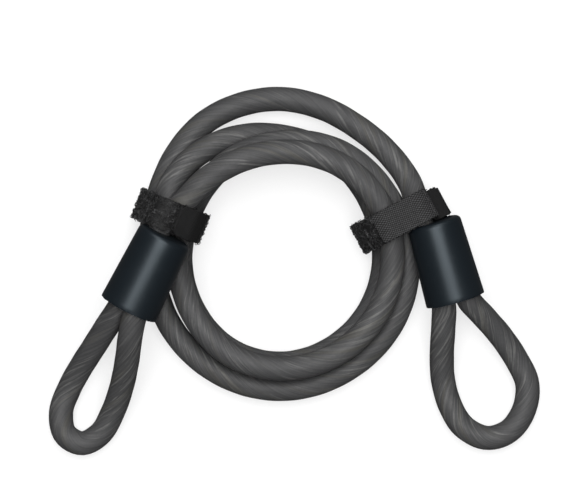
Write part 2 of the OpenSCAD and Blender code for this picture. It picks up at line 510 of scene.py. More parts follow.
def new_mesh(name: str, data: MeshData, layers: Mapping[str, np.ndarray] | None = None) -> bpy.types.Object:
    """Makes a smooth object at the origin from vertices in mm of the coil's frame.

    Args:
        name: the piece's name.
        data: vertices and faces.
        layers: vector attributes of the vertices, by name.

    Returns:
        The object.
    """
    verts, faces = data
    mesh = bpy.data.meshes.new(name)
    mesh.from_pydata(((verts - np.array(MIDDLE)) * MM).tolist(), [], faces)
    mesh.update()
    for key, values in (layers or {}).items():
        made = mesh.attributes.new(key, "FLOAT_VECTOR", "POINT")
        made.data.foreach_set("vector", np.asarray(values, np.float32).ravel())
    mesh.polygons.foreach_set("use_smooth", [True] * len(mesh.polygons))
    obj = bpy.data.objects.new(name, mesh)
    bpy.context.scene.collection.objects.link(obj)
    return obj


def dress(
    obj: bpy.types.Object, material: bpy.types.Material, slot: Slot, body: Body | None = Body.CABLE
) -> bpy.types.Object:
    """Gives a piece its finish and body.

    Args:
        obj: the piece.
        material: its material.
        slot: the record's slot; not used.
        body: what it rides on, or None, which leaves the piece unattached.

    Returns:
        The piece.
    """
    obj.data.materials.clear()
    obj.data.materials.append(material)
    if body is not None:
        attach(obj, body.value)
    log.info("%s: %d faces", obj.name, len(obj.data.polygons))
    return obj


def lathe(name: str, profile: Sequence[tuple[float, float]], sides: int) -> bpy.types.Object:
    """Turns a solid: a disc at the first profile point, extruded ring by ring to the last.

    Args:
        name: the object's name.
        profile: (radius, height) in mm of each ring.
        sides: vertices of a ring.

    Returns:
        The object, in its own frame about Z.
    """
    deselect()
    radius, height = profile[0]
    bpy.ops.mesh.primitive_circle_add(
        vertices=sides, radius=radius * MM, location=(0, 0, height * MM), fill_type="NGON"
    )
    obj = bpy.context.active_object
    obj.name = obj.data.name = name
    bpy.ops.object.transform_apply(location=True, rotation=True, scale=True)
    bpy.ops.object.mode_set(mode="EDIT")
    bpy.ops.mesh.select_mode(type="FACE")
    bpy.ops.mesh.select_all(action="SELECT")
    for next_radius, next_height in profile[1:]:
        bpy.ops.mesh.extrude_region_move(
            TRANSFORM_OT_translate={"value": (0, 0, (next_height - height) * MM)}
        )
        share = next_radius / radius
        bpy.ops.transform.resize(value=(share, share, 1), center_override=(0, 0, next_height * MM))
        radius, height = next_radius, next_height
    face_outward(obj)
    return obj


def bore(obj: bpy.types.Object, radius: float, place: tuple[float, float], low: float, high: float) -> None:
    """Cuts a round hole along Z.

    Args:
        obj: what is cut.
        radius: of the hole, in mm.
        place: of its axis, in mm.
        low: where the cutter starts.
        high: where it ends.
    """
    deselect()
    bpy.ops.mesh.primitive_cylinder_add(
        vertices=64,
        radius=radius * MM,
        depth=(high - low) * MM,
        location=(place[0] * MM, place[1] * MM, (low + high) / 2 * MM),
    )
    cutter = bpy.context.active_object
    pick(obj)
    cut = obj.modifiers.new("bore", "BOOLEAN")
    cut.operation, cut.solver, cut.object = "DIFFERENCE", "EXACT", cutter
    bpy.ops.object.modifier_apply(modifier="bore")
    bpy.data.objects.remove(cutter)


def soften(obj: bpy.types.Object, width: float, angle: float = 35.0) -> None:
    """Rounds the sharp edges of an object by width mm, and applies it."""
    pick(obj)
    made = obj.modifiers.new("edge", "BEVEL")
    made.width, made.segments, made.limit_method = width * MM, 2, "ANGLE"
    made.angle_limit, made.harden_normals = math.radians(angle), False
    bpy.ops.object.modifier_apply(modifier="edge")


# ---- Where the cable runs ----


def curve_through(points: Sequence[Vector], per_span: int = 8) -> np.ndarray:
    """Smooth curve through points, even where they are unevenly spaced.

    Args:
        points: what it passes through.
        per_span: steps between two of them.

    Returns:
        The curve's points, one row each.
    """
    p = [np.array(v, float) for v in points]
    p = [2 * p[0] - p[1], *p, 2 * p[-1] - p[-2]]
    made = []
    for a, b, c, d in zip(p, p[1:], p[2:], p[3:]):
        ta = 0.0
        tb = ta + math.sqrt(np.linalg.norm(b - a))
        tc = tb + math.sqrt(np.linalg.norm(c - b))
        td = tc + math.sqrt(np.linalg.norm(d - c))
        for k in range(per_span):
            t = tb + (tc - tb) * k / per_span
            ab = (tb - t) / (tb - ta) * a + (t - ta) / (tb - ta) * b
            bc = (tc - t) / (tc - tb) * b + (t - tb) / (tc - tb) * c
            cd = (td - t) / (td - tc) * c + (t - tc) / (td - tc) * d
            abc = (tc - t) / (tc - ta) * ab + (t - ta) / (tc - ta) * bc
            bcd = (td - t) / (td - tb) * bc + (t - tb) / (td - tb) * cd
            made.append((tc - t) / (tc - tb) * abc + (t - tb) / (tc - tb) * bcd)
    made.append(p[-2])
    return np.array(made)


def even(line: np.ndarray, step: float) -> np.ndarray:
    """The same line with points about step apart."""
    along = lengths(line)
    count = max(2, round(along[-1] / step) + 1)
    wanted = np.linspace(0, along[-1], count)
    return np.stack([np.interp(wanted, along, line[:, k]) for k in range(3)], axis=1)


def lengths(line: np.ndarray) -> np.ndarray:
    """Distance along a line at each of its points."""
    return np.concatenate([[0.0], np.cumsum(np.linalg.norm(np.diff(line, axis=0), axis=1))])


def frames(line: np.ndarray) -> tuple[np.ndarray, np.ndarray]:
    """Two unit vectors square to the line at each point, turning as little as they can."""
    tangent = np.gradient(line, axis=0)
    tangent /= np.linalg.norm(tangent, axis=1)[:, None]
    side = np.zeros_like(line)
    first = np.cross((0.0, 0.0, 1.0), tangent[0])
    side[0] = first / np.linalg.norm(first)
    for k in range(1, len(line)):
        v = side[k - 1] - tangent[k] * (side[k - 1] @ tangent[k])
        side[k] = v / np.linalg.norm(v)
    return side, np.cross(tangent, side)


def rings(line: np.ndarray, side: np.ndarray, up: np.ndarray, radius: np.ndarray | float,
          sides: int) -> np.ndarray:  # fmt: skip
    """Points of rings round a line, ring by ring.

    Args:
        line: the rings' middles.
        side: unit vector of each ring towards its first point.
        up: unit vector square to it.
        radius: one number, or one for each point of each ring.
        sides: points of a ring.

    Returns:
        The points, one row each.
    """
    angle = np.arange(sides) * TURN / sides
    made = line[:, None] + (radius * np.cos(angle) * np.ones((len(line), 1)))[:, :, None] * side[:, None]
    made = made + (radius * np.sin(angle) * np.ones((len(line), 1)))[:, :, None] * up[:, None]
    return made.reshape(-1, 3)


def walls(count: int, sides: int, start: int = 0, inward: bool = False) -> list[tuple[int, ...]]:
    """Faces of a tube of count rings, from vertex start."""
    made = []
    for i in range(count - 1):
        for k in range(sides):
            a, b = start + i * sides + k, start + i * sides + (k + 1) % sides
            face = (a, b, b + sides, a + sides)
            made.append(face[::-1] if inward else face)
    return made


def rod(line: np.ndarray, radius: float, sides: int) -> MeshData:
    """A closed round rod along a line, in mm."""
    verts = rings(line, *frames(line), radius, sides)
    last = (len(line) - 1) * sides
    faces = walls(len(line), sides)
    faces += [tuple(range(sides))[::-1], tuple(last + k for k in range(sides))]
    return verts, faces


def join(parts: Sequence[MeshData]) -> MeshData:
    """Several meshes as one."""
    verts, faces, start = [], [], 0
    for v, f in parts:
        verts.append(v)
        faces += [tuple(start + k for k in face) for face in f]
        start += len(v)
    return np.concatenate(verts), faces


@dataclass(frozen=True)
class Crimp:
    """One crimped end: where its cover's coil face is, how it is turned, and which leg runs on."""

    name: str
    place: Colour
    turn: Colour
    side: int
    leg: float = 5.1
    cover_len: float = 33.0
    mouth_d: float = 24.2
    top_d: float = 22.0
    cavity_d: float = 20.68
    cavity_top_d: float = 19.4
    shoulder: float = 2.5
    edge: float = 2.0
    ferrule_len: float = 25.0
    ferrule_d: float = 19.3
    rope_hole_d: float = 7.1
    cable_hole_d: float = 10.1
    grooves: int = 5
    first_groove: float = 3.2
    groove_pitch: float = 4.2

    def point(self, x: float, y: float = 0.0, z: float = 0.0) -> Vector:
        """A point of the crimp, with X from the coil face to the eye, in mm of the coil's frame."""
        turned = Euler([math.radians(a) for a in self.turn], "XYZ").to_matrix() @ Vector((x, y, z))
        return Vector(self.place) + turned

    def matrix(self) -> Matrix:
        """From a frame in metres whose Z runs from the coil face to the eye, to the object's frame."""
        turn = Euler([math.radians(a) for a in self.turn], "XYZ").to_matrix().to_4x4()
        return (
            Matrix.Translation((Vector(self.place) - MIDDLE) * MM)
            @ turn
            @ Matrix.Rotation(math.pi / 2, 4, "Y")
        )

    def settle(self, obj: bpy.types.Object) -> None:
        """Puts a finished mesh in its place, with the place in the mesh."""
        obj.data.transform(self.matrix())
        obj.data.update()

    def build_ferrule(self, material: bpy.types.Material) -> bpy.types.Object:
        """Makes the pressed aluminium ferrule with its two bores."""
        r, low = self.ferrule_d / 2, self.shoulder
        profile = [(r - 0.5, low), (r - 0.15, low + 0.15), (r, low + 0.5)]
        groove = ((0.0, -1.0), (-0.25, -0.55), (-0.32, 0.0), (-0.25, 0.55), (0.0, 1.0))
        for k in range(self.grooves):
            z = low + self.first_groove + k * self.groove_pitch
            profile += [(r + dent, z + dz) for dent, dz in groove]
        high = low + self.ferrule_len
        profile += [(r, high - 0.5), (r - 0.15, high - 0.15), (r - 0.5, high)]
        obj = lathe(f"{self.name}_pressed_ferrule", profile, 72)
        for y in (-self.leg, self.leg):
            bore(obj, self.rope_hole_d / 2, (0, y), low - 1, high + 1)
        soften(obj, 0.12)
        self.settle(obj)
        shade(obj, 35)
        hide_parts(f"{self.name}_ferrule")
        return dress(obj, material, Slot.FERRULE)

    def build_cover(self, material: bpy.types.Material) -> bpy.types.Object:
        """Makes the moulded cover, closed at the coil end and open at the eye end."""
        r, closed, inner, n = self.mouth_d / 2, self.top_d / 2, self.cavity_d / 2, 7
        top = self.cover_len
        arc = [i * math.pi / 2 / n for i in range(n + 1)]
        profile = [(closed - self.edge - 0.4, 0.0)]
        profile += [
            (closed - self.edge + self.edge * math.sin(a), self.edge - self.edge * math.cos(a)) for a in arc
        ]
        for z in (8.0, 14.0, 20.0, 26.0, 31.0, top - 0.35):
            profile.append((closed + (r - closed) * (z - self.edge) / (top - self.edge), z))
        profile += [(r - 0.12, top - 0.08), (r - 0.4, top), (inner + 0.3, top), (inner, top - 0.3)]
        profile += [(self.cavity_top_d / 2, self.shoulder)]
        obj = lathe(f"{self.name}_moulded_cover", profile, 128)
        bore(obj, self.cable_hole_d / 2, (0, self.side * self.leg), -1, self.shoulder + 1)
        for v in obj.data.vertices:  # thin flash left round the mouth
            if v.co.z > (top - 0.2) * MM:
                way = math.atan2(v.co.y, v.co.x)
                ragged = noise.noise(Vector((3.2 * math.cos(way), 3.2 * math.sin(way), top)))
                fine = noise.noise(Vector((11 * math.cos(way), 11 * math.sin(way), 7.0)))
                v.co.z += (0.22 * max(0.0, ragged) + 0.12 * fine) * MM
        self.settle(obj)
        shade(obj, 32)
        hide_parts(f"{self.name}_ferrule_cover")
        return dress(obj, material, Slot.COVER)


LEFT_CRIMP = Crimp("left", (-46.1, 9.3, 36.5), (45, 6, -117), -1)
RIGHT_CRIMP = Crimp("right", (61, 14.8, 23.8), (0, 5, -74), -1)


@dataclass(frozen=True)
class Route:
    """The cable's centreline, from one crimp round the coil to the other, and round both eyes."""

    lowest: float = 7.0
    start_angle: float = 150.0
    station_step: float = 30.0
    rope_end: float = 4.0
    clear: float = 2.0
    stations: tuple[tuple[float, float], ...] = (
        # first turn: radius and height above the lowest pass, every station_step degrees
        (45.1, 20.8), (42.8, 22.7), (42.7, 20.1), (44.1, 19), (45, 17), (44.8, 13.2),
        (44.7, 10.4), (44.7, 10.4), (44.7, 10.4), (44.2, 10.4), (42.4, 10.4), (43, 11),
        # second turn
        (53.4, 10.4), (53.6, 5.8), (49.7, 0), (46.2, 0), (42.9, 0), (41.8, 0),
        (41.7, 0), (42.2, 0), (43.2, 0), (43.2, 0), (42, 0), (41.6, 0),
        # third turn
        (42, 3.8), (44.4, 12), (46.9, 10), (49.1, 10), (49.6, 7.8), (51.3, 4.9),
        (52.4, 0.6), (52.8, 0), (53.6, 0), (53.6, 0), (53.4, 0), (53.4, 0),
        # out to the right crimp
        (57.2, 0), (63.8, 0), (65.1, 0), (61.8, 1.5), (60.2, 8.2),
    )  # fmt: skip
    left_eye: tuple[Colour, ...] = (
        (-60.4, -31, 33), (-62.2, -41, 25.2), (-65, -52, 15.8),
        (-69.2, -63, 8), (-74.5, -72, 5.2), (-82, -76, 5), (-89, -72.2, 5), (-90.6, -63, 5),
        (-87.3, -53.7, 5.8), (-82.2, -44.8, 10.4), (-76.1, -35.8, 17), (-70.2, -27.1, 24),
    )  # fmt: skip
    right_eye: tuple[Colour, ...] = (
        (65.4, -28.5, 17.2), (65.2, -39, 11), (66, -50, 6.2),
        (69, -60.5, 5), (74.5, -69.2, 5), (84, -73.8, 5),
        (93.2, -70.9, 5), (99.3, -62.2, 5), (100.6, -51.5, 5),
        (95.9, -41.2, 6), (89, -31.4, 10.2), (82.2, -23.9, 15.2),
    )  # fmt: skip

    def coil_at(self, turned: float) -> Vector:
        """The coil's centreline after turned degrees clockwise."""
        last = len(self.stations) - 1
        i = min(int(turned / self.station_step), last - 1)
        f = turned / self.station_step - i
        p = [np.array(v, float) for v in self.stations]
        before = p[i - 1] if i else 2 * p[0] - p[1]
        after = p[i + 2] if i + 2 <= last else 2 * p[last] - p[last - 1]
        v = 0.5 * (
            2 * p[i]
            + (p[i + 1] - before) * f
            + (2 * before - 5 * p[i] + 4 * p[i + 1] - after) * f * f
            + (3 * p[i] - 3 * p[i + 1] + after - before) * f**3
        )
        way = math.radians(self.start_angle - turned)
        return Vector((v[0] * math.cos(way), v[0] * math.sin(way), self.lowest + v[1]))

    def leg_points(self, crimp: Crimp, running: bool, places: Sequence[float]) -> list[Vector]:
        """Points along one leg of a crimp.

        Args:
            crimp: the crimp.
            running: True for the leg that runs on into the coil.
            places: distances from the coil face.

        Returns:
            The points.
        """
        y = crimp.leg * crimp.side * (1 if running else -1)
        return [crimp.point(x, y) for x in places]

    def coil(self) -> list[Vector]:
        """Guide points from the left crimp's face to the right one's."""
        face = [LEFT_CRIMP.shoulder, 0.3, -self.clear]
        span = (len(self.stations) - 1) * self.station_step
        rings = [self.coil_at(t * 15.0) for t in range(round(span / 15.0) + 1)]
        return [
            *self.leg_points(LEFT_CRIMP, True, face),
            *rings,
            *self.leg_points(RIGHT_CRIMP, True, face[::-1]),
        ]

    def eye(self, crimp: Crimp) -> list[Vector]:
        """Guide points of an eye, from the ferrule's foot and back to it."""
        foot = crimp.shoulder + crimp.ferrule_len
        ends = [foot, foot + 3.0, crimp.cover_len + 1.0]
        left = crimp is LEFT_CRIMP
        points = [Vector(v) for v in (self.left_eye if left else self.right_eye)]
        return [
            *self.leg_points(crimp, not left, ends), *points, *self.leg_points(crimp, left, ends[::-1])
        ]  # fmt: skip

    def rope(self) -> list[Vector]:
        """Guide points of the wire rope from one cut end to the other."""
        return [
            *self.leg_points(LEFT_CRIMP, False, [self.rope_end, 15.0]),
            *self.eye(LEFT_CRIMP),
            *self.leg_points(LEFT_CRIMP, True, [15.0]),
            *self.coil(),
            *self.leg_points(RIGHT_CRIMP, True, [15.0]),
            *self.eye(RIGHT_CRIMP),
            *self.leg_points(RIGHT_CRIMP, False, [15.0, self.rope_end]),
        ]


@dataclass(frozen=True)
class Cable:
    """The jacketed wire rope."""

    route: Route = Route()
    diameter: float = 10.0
    bore_d: float = 7.1
    rope_d: float = 7.0
    core_d: float = 2.3
    lay: float = 60.0
    strands: int = 6
    sides: int = 48
    ring_gap: float = 1.5
    swell: float = 0.08

    def jacket(self, name: str, guide: Sequence[Vector], seed: float) -> tuple[bpy.types.Object, np.ndarray]:
        """Makes one sleeve of jacket, faintly swollen over the strands beneath.

        Args:
            name: the piece's name.
            guide: points that its centreline passes through.
            seed: shifts its painted highlight streaks.

        Returns:
            The sleeve and its centreline, in mm of the coil's frame.
        """
        line = even(curve_through(guide, 12), self.ring_gap)
        along = lengths(line)
        side, up = frames(line)
        angle = np.arange(self.sides) * TURN / self.sides
        twist = angle[None, :] - TURN * along[:, None] / self.lay
        uneven = np.array([0.65 + 0.35 * noise.noise(Vector((s / 23.0, seed, 0.0))) for s in along])
        hollow = 0.5 - 0.5 * np.cos(self.strands * twist)
        radius = self.diameter / 2 - self.swell * uneven[:, None] * hollow
        outer = rings(line, side, up, radius, self.sides)
        drift = np.repeat(along[:, None] / 50.0 + seed, self.sides, axis=1)
        lay = np.stack([np.cos(twist), np.sin(twist), drift], axis=2)
        keep = sorted(set(range(0, len(line), 4)) | {len(line) - 1})
        inner = rings(line[keep], side[keep], up[keep], self.bore_d / 2, self.sides)
        start = len(line) * self.sides
        faces = walls(len(line), self.sides) + walls(len(keep), self.sides, start, True)
        for ring_out, ring_in, flip in (
            (0, start, True),
            (start - self.sides, start + (len(keep) - 1) * self.sides, False),
        ):
            for k in range(self.sides):
                m = (k + 1) % self.sides
                face = (ring_out + k, ring_out + m, ring_in + m, ring_in + k)
                faces.append(face[::-1] if flip else face)
        verts = np.concatenate([outer, inner])
        layers = {"lay": np.concatenate([lay.reshape(-1, 3), lay[keep].reshape(-1, 3)])}
        obj = new_mesh(name, (verts, faces), layers)
        shade(obj, 50)
        return obj, line

    def strand(
        self, line: np.ndarray, around: float, radius: float, sides: int
    ) -> tuple[MeshData, np.ndarray]:
        """One strand that winds round the core, and its wire attribute."""
        along = lengths(line)
        side, up = frames(line)
        way = around + TURN * along / self.lay
        reach = self.rope_d / 2 - radius
        path = line + reach * (np.cos(way)[:, None] * side + np.sin(way)[:, None] * up)
        data = rod(path, radius, sides)
        angle = np.tile(np.arange(sides) * TURN / sides, len(line))
        wire = np.stack([angle, np.repeat(along, sides), np.zeros(len(angle))], axis=1)
        return data, wire

    def build_rope(self, material: bpy.types.Material) -> list[bpy.types.Object]:
        """Makes the centre strand and the strands laid round it."""
        line = even(curve_through(self.route.rope(), 10), 3.0)
        core = rod(line, self.core_d / 2, 12)
        angle = np.tile(np.arange(12) * TURN / 12, len(line))
        wire = np.stack([angle, np.repeat(lengths(line), 12), np.zeros(len(angle))], axis=1)
        centre = new_mesh("rope_centre_strand", core, {"wire": wire})
        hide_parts("rope_core")
        made, wires = [], []
        for k in range(self.strands):
            data, wire = self.strand(line, k * TURN / self.strands, 1.14, 10)
            made.append(data)
            wires.append(wire)
        outer = new_mesh("rope_laid_strands", join(made), {"wire": np.concatenate(wires)})
        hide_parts("rope_strands")
        return [dress(obj, material, Slot.ROPE) for obj in (centre, outer)]

    def build(self, jacket: bpy.types.Material, steel: bpy.types.Material) -> None:
        """Makes the whole cable."""
        rope = self.build_rope(steel)
        runs = (
            ("coil", self.route.coil(), 0.0, "coiled", rope),
            ("left_eye", self.route.eye(LEFT_CRIMP), 40.0, "loose", []),
            ("right_eye", self.route.eye(RIGHT_CRIMP), 80.0, "loose", []),
        )
        for name, guide, seed, lay, inside in runs:
            obj, line = self.jacket(f"jacket_{name}_sleeve", guide, seed)
            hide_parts(f"jacket_{name}")
            dress(obj, jacket, Slot.JACKET)
            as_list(inside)
            log.info("%s: %.0f mm long", obj.name, lengths(line)[-1])


# ---- Straps ----


@dataclass(frozen=True)
class Layers:
    """Height of each layer of a strap above the tape's inside, in mm."""

    tape: float = 1.0
    pile: float = 1.7
    tail_from: float = 2.5
    tail_to: float = 3.5


class Bundle:
    """The outline of the cables that a strap holds, seen along them."""

    def __init__(self, sections: Sequence[tuple[float, float]], reach: float) -> None:
        """Works out the outline.

        Args:
            sections: (across, height) of each cable's middle.
            reach: from a cable's middle to the tape's inside.
        """
        points, normals = [], []
        for k in range(720):
            n = np.array([math.cos(k * TURN / 720), math.sin(k * TURN / 720)])
            c = max((np.array(s, float) for s in sections), key=lambda v: float(v @ n))
            points.append(c + reach * n)
            normals.append(n)
        points.append(points[0])
        normals.append(normals[0])
        self.points, self.normals = np.array(points), np.array(normals)
        steps = np.linalg.norm(np.diff(self.points, axis=0), axis=1)
        self.along = np.concatenate([[0.0], np.cumsum(steps)])
        self.length = float(self.along[-1])

    def at(self, place: float, rise: float) -> tuple[np.ndarray, np.ndarray]:
        """Point and normal at a distance round the outline, raised by rise."""
        s = place % self.length
        p = np.array([np.interp(s, self.along, self.points[:, k]) for k in range(2)])
        n = np.array([np.interp(s, self.along, self.normals[:, k]) for k in range(2)])
        n /= np.linalg.norm(n)
        return p + rise * n, n

    def nearest(self, point: Sequence[float], rise: float) -> float:
        """Distance round the outline, raised by rise, of its nearest place to a point."""
        places = np.arange(0.0, self.length, 0.1)
        return float(min(places, key=lambda s: np.linalg.norm(self.at(s, rise)[0] - np.array(point))))


@dataclass
class Strap:
    """A hook-and-loop strap: band, pile, tail with its hooks, and the seam at the tail's root."""

    name: str
    body: Body
    middle: tuple[float, float]
    across: float
    sections: tuple[tuple[float, float], ...]
    hinge: tuple[float, float]
    way: int
    tail_len: float
    root_len: float
    seam: float
    seed: int
    corner: tuple[float, float] = (2.2, 2.2)
    bare: float = 0.0
    skew: float = 0.0
    width: float = 12.5
    reach: float = 5.3
    pitch: float = 1.05
    relief: float = 0.03
    layers: Layers = Layers()
    loops: int = 1500
    stitches: int = 4
    stitch_pitch: float = 2.8
    hook_pitch: float = 0.95

    def __post_init__(self) -> None:
        """Works out the outline and where the hinge is on it."""
        self.bundle = Bundle(self.sections, self.reach)
        self.root = self.bundle.nearest(self.hinge, self.layers.tail_to)
        self.draw = random.Random(self.seed)

    def place(self, u: float, y: float, rise: float) -> np.ndarray:
        """A point of the strap, in mm of the coil's frame.

        Args:
            u: distance from the hinge towards the tail's tip, round the bundle.
            y: distance from the tape's middle, along the cables.
            rise: height above the tape's inside.

        Returns:
            The point.
        """
        (x, z), _ = self.bundle.at(self.root + self.way * u, rise)
        turn = math.radians(self.across)
        return np.array(
            [
                self.middle[0] + x * math.cos(turn) - y * math.sin(turn),
                self.middle[1] + x * math.sin(turn) + y * math.cos(turn),
                z,
            ]
        )

    def planted(self, shape: np.ndarray, u: float, y: float, rise: float) -> np.ndarray:
        """A small shape stood on the strap, with its X along the tape and its Z out of it."""
        origin = self.place(u, y, rise)
        along = self.place(u + 0.2, y, rise) - self.place(u - 0.2, y, rise)
        along /= np.linalg.norm(along)
        out = self.place(u, y, rise + 1.0) - origin
        return origin + shape @ np.array([along, np.cross(out, along), out])

    def ribbon(
        self,
        name: str,
        places: Sequence[float],
        low: Callable[[float], float],
        high: Callable[[float], float],
        relief: Callable[[float, float], float],
        edges: Callable[[float], tuple[float, float]],
        columns: int,
        closed: bool = False,
    ) -> bpy.types.Object:
        """Makes a strip of cloth round the bundle, as a closed solid.

        Args:
            name: the piece's name.
            places: distances from the hinge of its rows.
            low: height of its inside at a distance.
            high: height of its outside.
            relief: what is added to the outside at a distance and a place across.
            edges: its two edges across, at a distance.
            columns: points across its outside.
            closed: True where the last row meets the first.

        Returns:
            The object, with the "cloth" attribute.
        """
        under = 6
        verts, cloth = [], []
        for u in places:
            a, b = edges(u)
            bottom, top = low(u), high(u)
            mid = (bottom + top) / 2
            inset = min(0.22, (b - a) / 4)
            row = []
            for k in range(columns):
                y = a + inset + (b - a - 2 * inset) * k / (columns - 1)
                row.append((y, top + relief(u, y)))
            row.append((b, mid))
            for k in range(under):
                row.append((b - inset - (b - a - 2 * inset) * k / (under - 1), bottom))
            row.append((a, mid))
            for y, rise in row:
                verts.append(self.place(u, y, rise))
                cloth.append((u, y, rise))
        n, rows = columns + under + 2, len(places)
        flip = self.way > 0
        faces = []
        for i in range(rows if closed else rows - 1):
            for k in range(n):
                a, b = i * n + k, i * n + (k + 1) % n
                c, d = (b + n) % (rows * n), (a + n) % (rows * n)
                faces.append((a, b, c, d) if flip else (d, c, b, a))
        if not closed:
            first, last = tuple(range(n)), tuple((rows - 1) * n + k for k in range(n))
            faces += [first[::-1], last] if flip else [first, last[::-1]]
        obj = new_mesh(name, (np.array(verts), faces), {"cloth": np.array(cloth)})
        face_outward(obj)
        shade(obj, 45)
        return obj

    def band_edges(self, u: float) -> tuple[float, float]:
        """The band's two edges, which lie askew where it comes out from under the tail's root."""
        back = u - self.bundle.length if u > self.bundle.length / 2 else u
        rise = min(1.0, max(0.0, (-back - 3.0) / 3.5)) * min(1.0, max(0.0, (back + 34.0) / 14.0))
        shift = -self.skew * rise * rise * (3 - 2 * rise)
        return -self.width / 2 + shift, self.width / 2 + shift

    def tail_edges(self, u: float) -> tuple[float, float]:
        """The tail's two edges, which round off at its tip."""
        made = []
        for r in self.corner:
            d = u - (self.tail_len - r)
            cut = 0.0 if d <= 0 else r - math.sqrt(max(0.0, r * r - d * d))
            made.append(self.width / 2 - cut * 0.96)
        return -made[0], made[1]

    def weave(self, depth: float) -> Callable[[float, float], float]:
        """Relief of a plain weave with a lightly raised selvedge."""

        def relief(u: float, y: float) -> float:
            dots = math.sin(u * TURN / self.pitch) * math.sin(y * TURN / self.pitch)
            edge = max(0.0, abs(y) - self.width / 2 + 0.9) / 0.9
            return depth * dots * (1 - edge) + 0.05 * edge

        return relief

    def build_band(self, material: bpy.types.Material) -> bpy.types.Object:
        """Makes the tape that goes round the bundle."""
        count = round(self.bundle.length / 0.8)
        places = [self.bundle.length * k / count for k in range(count)]
        obj = self.ribbon(
            f"{self.name}_tape_band", places, lambda u: 0.0, lambda u: self.layers.tape,
            self.weave(0.05), self.band_edges, 22, True,
        )  # fmt: skip
        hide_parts(f"{self.name}_strap_band")
        return dress(obj, material, Slot.TAPE)

    def pile_span(self) -> tuple[float, float]:
        """Where the pile starts, just past the tail's root, and where it ends."""
        return 0.6, self.bundle.length - max(self.root_len, self.bare) - 0.4

    def build_pile(self, felt: bpy.types.Material, curls: bpy.types.Material) -> bpy.types.Object:
        """Makes the felted ground of the pile, which it returns, and the curly loops on it."""
        start, end = self.pile_span()
        count = round((end - start) / 0.45)
        places = [start + (end - start) * k / count for k in range(count + 1)]

        def lumps(u: float, y: float) -> float:
            coarse = noise.noise(Vector((u / 0.9, y / 0.9, self.seed)))
            fine = noise.noise(Vector((u / 0.4, y / 0.4, self.seed + 5.0)))
            return 0.20 * coarse + 0.12 * fine

        def ragged(u: float) -> tuple[float, float]:
            wave = [0.45 * noise.noise(Vector((u / 1.1, k, self.seed))) for k in (3.0, 9.0)]
            a, b = self.band_edges(u)
            return a - 0.05 + wave[0], b + 0.05 + wave[1]

        ground = self.ribbon(
            f"{self.name}_pile_ground", places, lambda u: self.layers.tape + 0.02,
            lambda u: self.layers.tape + 0.50, lumps, ragged, 28,
        )  # fmt: skip
        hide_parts(f"{self.name}_loop_pile")
        loops = new_mesh(f"{self.name}_pile_loops", self.scatter(start, end))
        shade(loops, 80)
        dress(loops, curls, Slot.PILE)
        return dress(ground, felt, Slot.PILE)

    def scatter(self, start: float, end: float) -> MeshData:
        """Curly loops all over the pile, pressed flat where the tail lies on them."""
        turns = np.linspace(-0.62, 3.75, 8)
        arc = np.stack([np.cos(turns), 0.35 * turns / 3.0, np.sin(turns)], axis=1)
        shape, faces = rod(arc * 0.5, 0.11, 4)
        made = []
        for _ in range(self.loops):
            u = self.draw.uniform(start + 0.3, end - 0.3)
            y = self.draw.uniform(-self.width / 2 - 0.1, self.width / 2 + 0.1)
            size = self.draw.uniform(0.75, 1.45)
            yaw, lean = self.draw.uniform(0, TURN), self.draw.uniform(0.15, 1.25)
            base = self.layers.tape + self.draw.uniform(0.35, 0.62)
            squeeze = 0.45 if u < self.tail_len + 0.4 else 1.0
            turn = np.array((Matrix.Rotation(yaw, 3, "Z") @ Matrix.Rotation(lean, 3, "X")))
            local = (shape * size) @ turn.T
            local[:, 2] *= squeeze
            verts = self.planted(local, u, y + sum(self.band_edges(u)) / 2, base)
            verts[:, 2] = np.maximum(verts[:, 2], 0.12)  # nothing below the floor
            made.append((verts, faces))
        return join(made)

    def tail_low(self, u: float) -> float:
        """Height of the tail's inside: sewn on the band it climbs onto the pile, or lies on the root tape."""
        if self.bare:
            return self.layers.tail_from
        t = min(1.0, max(0.0, (u + 1.0) / 3.0))
        sewn = self.layers.tape + 0.04
        return sewn + (self.layers.tail_from - sewn) * t * t * (3 - 2 * t)

    def build_root(self, material: bpy.types.Material) -> bpy.types.Object | None:
        """Makes the plain tape that covers the band where it has no pile, if there is such a stretch."""
        if not self.bare:
            return None
        start, end = -self.bare, -0.5
        count = round((end - start) / 0.5)
        places = [start + (end - start) * k / count for k in range(count + 1)]

        def low(u: float) -> float:
            t = min(1.0, max(0.0, (u + 7.0) / 3.0))
            return self.layers.tape + 0.04 + 0.42 * t * t * (3 - 2 * t)

        def edges(u: float) -> tuple[float, float]:
            a, b = self.band_edges(u)
            return a, b - 0.6

        obj = self.ribbon(
            f"{self.name}_root_tape", places, low, lambda u: low(u) + 0.95, self.weave(0.02), edges, 30
        )
        return dress(obj, material, Slot.TAPE)

    def build_tail(self, material: bpy.types.Material) -> bpy.types.Object:
        """Makes the tail, from its root, where it is sewn to the band, to its tip."""
        thick = self.layers.tail_to - self.layers.tail_from
        span = self.root_len + self.tail_len
        count = round(span / 0.3)
        places = [-self.root_len + span * k / count for k in range(count + 1)]
        obj = self.ribbon(
            f"{self.name}_tail_tape", places, self.tail_low, lambda u: self.tail_low(u) + thick - 0.06,
            self.weave(self.relief), self.tail_edges, 42,
        )  # fmt: skip
        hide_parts(f"{self.name}_strap_tail")
        dress(obj, material, Slot.TAPE, None)
        start, end = ((Vector(self.place(u, 0, self.layers.tail_to)) - MIDDLE) * MM for u in (-1.4, 2.2))
        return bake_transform(obj)

